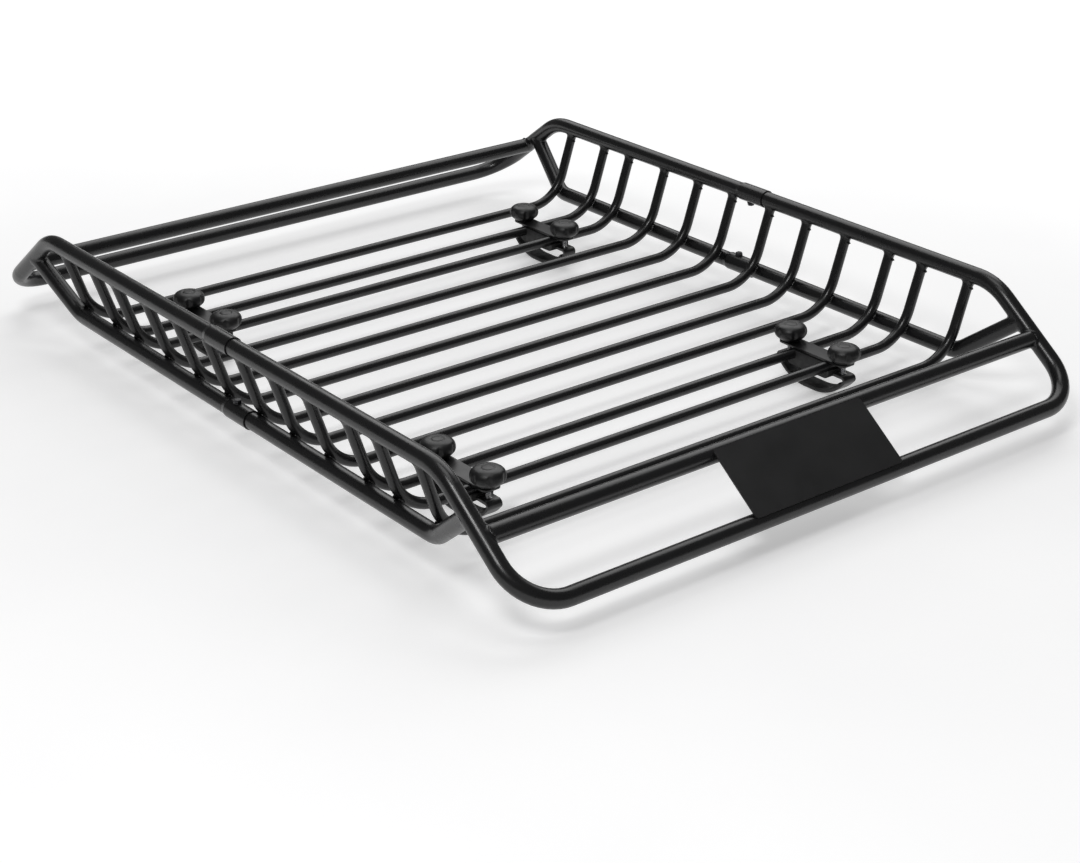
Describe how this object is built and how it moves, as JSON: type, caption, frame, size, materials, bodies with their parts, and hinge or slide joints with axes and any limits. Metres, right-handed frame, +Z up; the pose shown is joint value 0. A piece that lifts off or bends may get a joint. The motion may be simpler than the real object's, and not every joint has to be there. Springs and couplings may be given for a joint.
{
  "type": "roof cargo basket",
  "caption": "Open steel tube roof basket with sloped ends and a flat front plate, clamped to a vehicle's crossbars by hand knobs.",
  "frame": {"origin": "centre of the basket in plan, level with the undersides of the clamp straps", "axes": "+X to the right as seen from in front, +Y to the rear, away from the end with the flat plate, +Z up"},
  "size_m": [1.0328, 1.3874, 0.1889],
  "materials": {
    "frame_steel": "satin black powder coat",
    "plate_steel": "matte black powder coat",
    "clamp_steel": "satin black powder coat on flat steel",
    "saddle_rubber": "matte moulded rubber",
    "knob_plastic": "fine-grained moulded nylon",
    "zinc_hardware": "bright zinc plating"
  },
  "bodies": {
    "frame": {"top_rail_front": "frame_steel", "end_bar_front": "frame_steel", "lower_rail_front_left": "frame_steel", "lower_rail_front_right": "frame_steel", "top_rail_rear": "frame_steel", "end_bar_rear": "frame_steel", "lower_rail_rear_left": "frame_steel", "lower_rail_rear_right": "frame_steel", "floor_bar_01": "frame_steel", "floor_bar_02": "frame_steel", "floor_bar_03": "frame_steel", "floor_bar_04": "frame_steel", "floor_bar_05": "frame_steel", "floor_bar_06": "frame_steel", "floor_bar_07": "frame_steel", "floor_bar_08": "frame_steel", "floor_bar_09": "frame_steel", "floor_bar_10": "frame_steel", "floor_bar_11": "frame_steel", "floor_bar_12": "frame_steel", "front_plate": "plate_steel", "splice_screws": "zinc_hardware", "splice_nuts": "zinc_hardware", "knob_washers": "zinc_hardware", "clamp_plate_front_left": "clamp_steel", "clamp_saddle_front_left": "saddle_rubber", "clamp_plate_front_right": "clamp_steel", "clamp_saddle_front_right": "saddle_rubber", "clamp_plate_rear_left": "clamp_steel", "clamp_saddle_rear_left": "saddle_rubber", "clamp_plate_rear_right": "clamp_steel", "clamp_saddle_rear_right": "saddle_rubber"},
    "strap_front_left": {"clamp_strap_front_left": "clamp_steel", "strap_liner_front_left": "saddle_rubber", "clamp_bolts_front_left": "zinc_hardware"},
    "strap_front_right": {"clamp_strap_front_right": "clamp_steel", "strap_liner_front_right": "saddle_rubber", "clamp_bolts_front_right": "zinc_hardware"},
    "strap_rear_left": {"clamp_strap_rear_left": "clamp_steel", "strap_liner_rear_left": "saddle_rubber", "clamp_bolts_rear_left": "zinc_hardware"},
    "strap_rear_right": {"clamp_strap_rear_right": "clamp_steel", "strap_liner_rear_right": "saddle_rubber", "clamp_bolts_rear_right": "zinc_hardware"},
    "knob_front_left_fore": {"knob_front_left_fore": "knob_plastic", "knob_insert_front_left_fore": "zinc_hardware"},
    "knob_front_left_aft": {"knob_front_left_aft": "knob_plastic", "knob_insert_front_left_aft": "zinc_hardware"},
    "knob_front_right_fore": {"knob_front_right_fore": "knob_plastic", "knob_insert_front_right_fore": "zinc_hardware"},
    "knob_front_right_aft": {"knob_front_right_aft": "knob_plastic", "knob_insert_front_right_aft": "zinc_hardware"},
    "knob_rear_left_fore": {"knob_rear_left_fore": "knob_plastic", "knob_insert_rear_left_fore": "zinc_hardware"},
    "knob_rear_left_aft": {"knob_rear_left_aft": "knob_plastic", "knob_insert_rear_left_aft": "zinc_hardware"},
    "knob_rear_right_fore": {"knob_rear_right_fore": "knob_plastic", "knob_insert_rear_right_fore": "zinc_hardware"},
    "knob_rear_right_aft": {"knob_rear_right_aft": "knob_plastic", "knob_insert_rear_right_aft": "zinc_hardware"}
  },
  "joints": [
    {"name": "knob_turn_front_left_aft", "type": "hinge", "parent": "frame", "child": "knob_front_left_aft", "pos_m": [-0.344, -0.285, 0.05975], "axis": [0, 0, 1], "range_deg": [0, 2160]},
    {"name": "knob_turn_front_left_fore", "type": "hinge", "parent": "frame", "child": "knob_front_left_fore", "pos_m": [-0.344, -0.397, 0.05975], "axis": [0, 0, 1], "range_deg": [0, 2160]},
    {"name": "strap_drop_front_left", "type": "slide", "parent": "frame", "child": "strap_front_left", "axis": [0, 0, 1], "range_m": [-0.0075, 0]},
    {"name": "knob_turn_front_right_aft", "type": "hinge", "parent": "frame", "child": "knob_front_right_aft", "pos_m": [0.316, -0.285, 0.05975], "axis": [0, 0, 1], "range_deg": [0, 2160]},
    {"name": "knob_turn_front_right_fore", "type": "hinge", "parent": "frame", "child": "knob_front_right_fore", "pos_m": [0.316, -0.397, 0.05975], "axis": [0, 0, 1], "range_deg": [0, 2160]},
    {"name": "strap_drop_front_right", "type": "slide", "parent": "frame", "child": "strap_front_right", "axis": [0, 0, 1], "range_m": [-0.0075, 0]},
    {"name": "knob_turn_rear_left_aft", "type": "hinge", "parent": "frame", "child": "knob_rear_left_aft", "pos_m": [-0.332, 0.397, 0.05975], "axis": [0, 0, 1], "range_deg": [0, 2160]},
    {"name": "knob_turn_rear_left_fore", "type": "hinge", "parent": "frame", "child": "knob_rear_left_fore", "pos_m": [-0.332, 0.285, 0.05975], "axis": [0, 0, 1], "range_deg": [0, 2160]},
    {"name": "strap_drop_rear_left", "type": "slide", "parent": "frame", "child": "strap_rear_left", "axis": [0, 0, 1], "range_m": [-0.0075, 0]},
    {"name": "knob_turn_rear_right_aft", "type": "hinge", "parent": "frame", "child": "knob_rear_right_aft", "pos_m": [0.336, 0.397, 0.05975], "axis": [0, 0, 1], "range_deg": [0, 2160]},
    {"name": "knob_turn_rear_right_fore", "type": "hinge", "parent": "frame", "child": "knob_rear_right_fore", "pos_m": [0.336, 0.285, 0.05975], "axis": [0, 0, 1], "range_deg": [0, 2160]},
    {"name": "strap_drop_rear_right", "type": "slide", "parent": "frame", "child": "strap_rear_right", "axis": [0, 0, 1], "range_m": [-0.0075, 0]}
  ],
  "couplings": [
    {"joint": "knob_turn_front_left_aft", "follows": "strap_drop_front_left", "rad_per_m": -5026.5},
    {"joint": "knob_turn_front_left_fore", "follows": "strap_drop_front_left", "rad_per_m": -5026.5},
    {"joint": "knob_turn_front_right_aft", "follows": "strap_drop_front_right", "rad_per_m": -5026.5},
    {"joint": "knob_turn_front_right_fore", "follows": "strap_drop_front_right", "rad_per_m": -5026.5},
    {"joint": "knob_turn_rear_left_aft", "follows": "strap_drop_rear_left", "rad_per_m": -5026.5},
    {"joint": "knob_turn_rear_left_fore", "follows": "strap_drop_rear_left", "rad_per_m": -5026.5},
    {"joint": "knob_turn_rear_right_aft", "follows": "strap_drop_rear_right", "rad_per_m": -5026.5},
    {"joint": "knob_turn_rear_right_fore", "follows": "strap_drop_rear_right", "rad_per_m": -5026.5}
  ]
}
